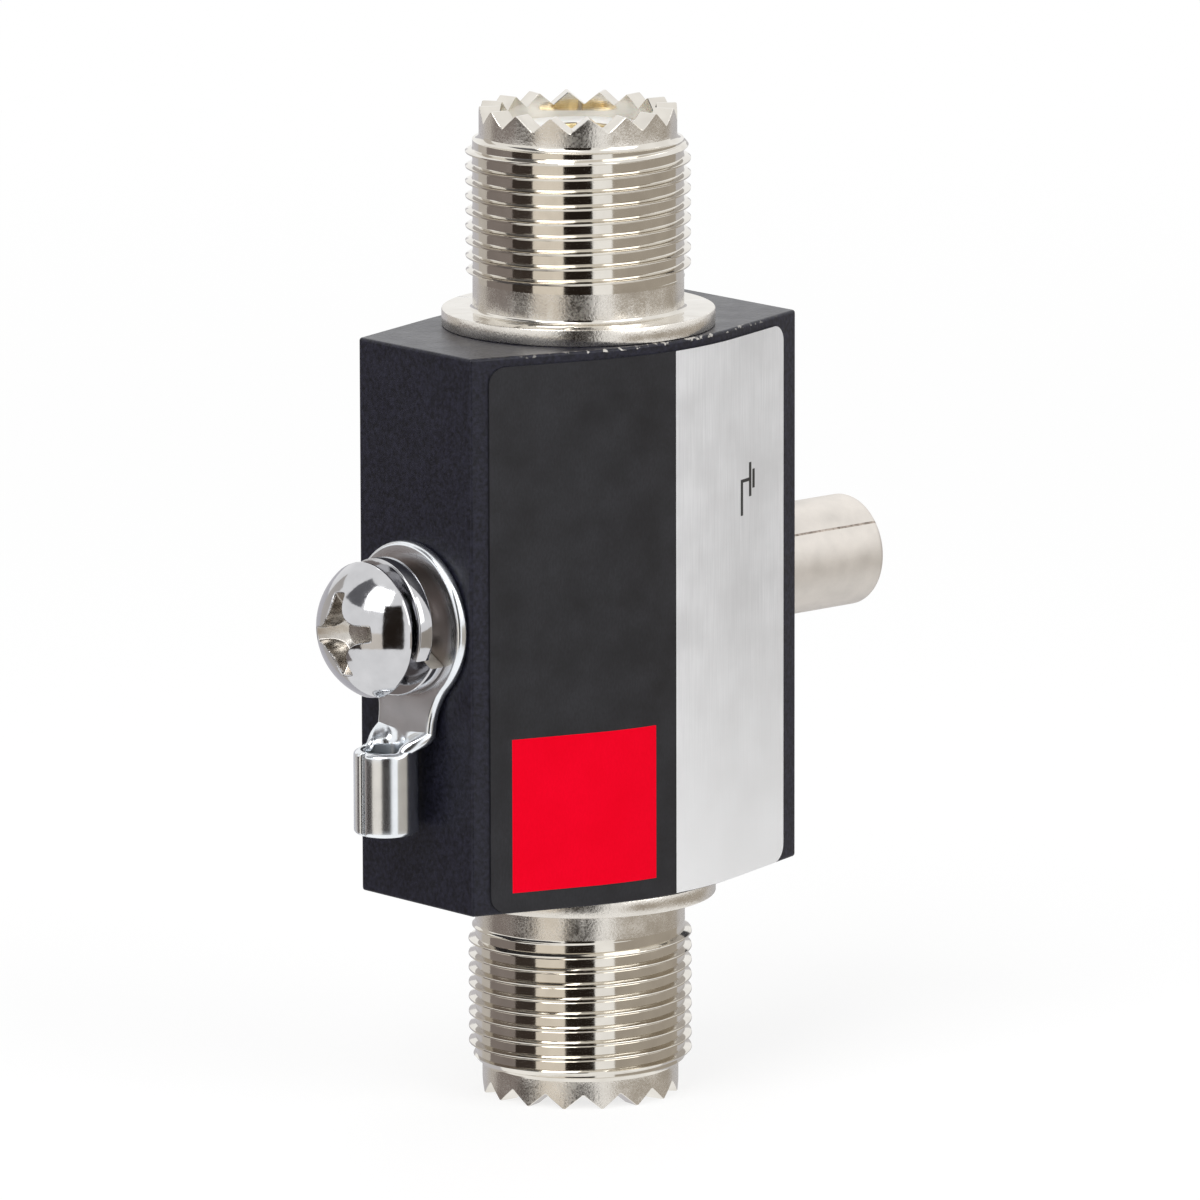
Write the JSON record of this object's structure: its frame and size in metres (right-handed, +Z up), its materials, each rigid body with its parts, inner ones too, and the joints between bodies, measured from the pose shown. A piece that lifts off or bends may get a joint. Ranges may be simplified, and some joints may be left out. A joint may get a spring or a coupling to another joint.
{
  "type": "coax lightning arrestor",
  "caption": "Inline coax lightning arrestor: painted block with a threaded coax socket at both ends, a gas-tube cap on one side and a grounding screw with a ring lug on the other.",
  "frame": {"origin": "on the coax axis, in the mouth of the lower centre contact (the lower insulator's face plane)", "axes": "+Z up along the coax axis to the upper connector, +X towards the gas-tube cap, -X towards the grounding screw, label on the -Y face"},
  "size_m": [0.0481, 0.0198, 0.0708],
  "materials": {
    "block_paint": "satin fine-grained black paint",
    "label_print": "printed foil with black, silver and red fields",
    "bright_nickel": "polished nickel plate",
    "white_insulator": "turned white polymer",
    "contact_metal": "turned brass, lightly polished",
    "tube_ceramic": "white fired ceramic",
    "electrode_metal": "matt plated metal",
    "spring_steel": "drawn spring wire",
    "satin_nickel": "satin turned nickel plate",
    "tinned_sheet": "bright tin plate on sheet",
    "plated_steel": "bright plated steel"
  },
  "bodies": {
    "housing": {"body": "block_paint", "front_label": "label_print", "upper_connector_shell": "bright_nickel", "upper_insulator": "white_insulator", "upper_center_contact": "contact_metal", "lower_connector_shell": "bright_nickel", "lower_insulator": "white_insulator", "lower_center_contact": "contact_metal", "center_conductor": "contact_metal"},
    "tube_carrier": {"gas_tube_ceramic": "tube_ceramic", "gas_tube_inner_electrode": "electrode_metal", "gas_tube_outer_electrode": "electrode_metal", "contact_spring": "spring_steel"},
    "cap": {"tube_cap": "satin_nickel"},
    "washer_carrier": {"spring_washer": "plated_steel"},
    "screw": {"ground_screw": "plated_steel"},
    "lug": {"ring_lug": "tinned_sheet"}
  },
  "joints": [
    {"name": "cap_travel", "type": "slide", "parent": "housing", "child": "tube_carrier", "axis": [1, 0, 0], "range_m": [0, 0.00825]},
    {"name": "cap_turn", "type": "hinge", "parent": "tube_carrier", "child": "cap", "pos_m": [0.0152, 0, 0.0341], "axis": [1, 0, 0], "range_deg": [0, 3961]},
    {"name": "screw_travel", "type": "slide", "parent": "housing", "child": "washer_carrier", "axis": [-1, 0, 0], "range_m": [0, 0.0056]},
    {"name": "screw_turn", "type": "hinge", "parent": "washer_carrier", "child": "screw", "pos_m": [-0.0152, 0, 0.0341], "axis": [-1, 0, 0], "range_deg": [0, 2521]},
    {"name": "lug_swivel", "type": "hinge", "parent": "housing", "child": "lug", "pos_m": [-0.0152, 0, 0.0341], "axis": [-1, 0, 0], "continuous": true}
  ],
  "couplings": [
    {"joint": "cap_turn", "follows": "cap_travel", "rad_per_m": 8377.6},
    {"joint": "screw_turn", "follows": "screw_travel", "rad_per_m": 7854}
  ]
}
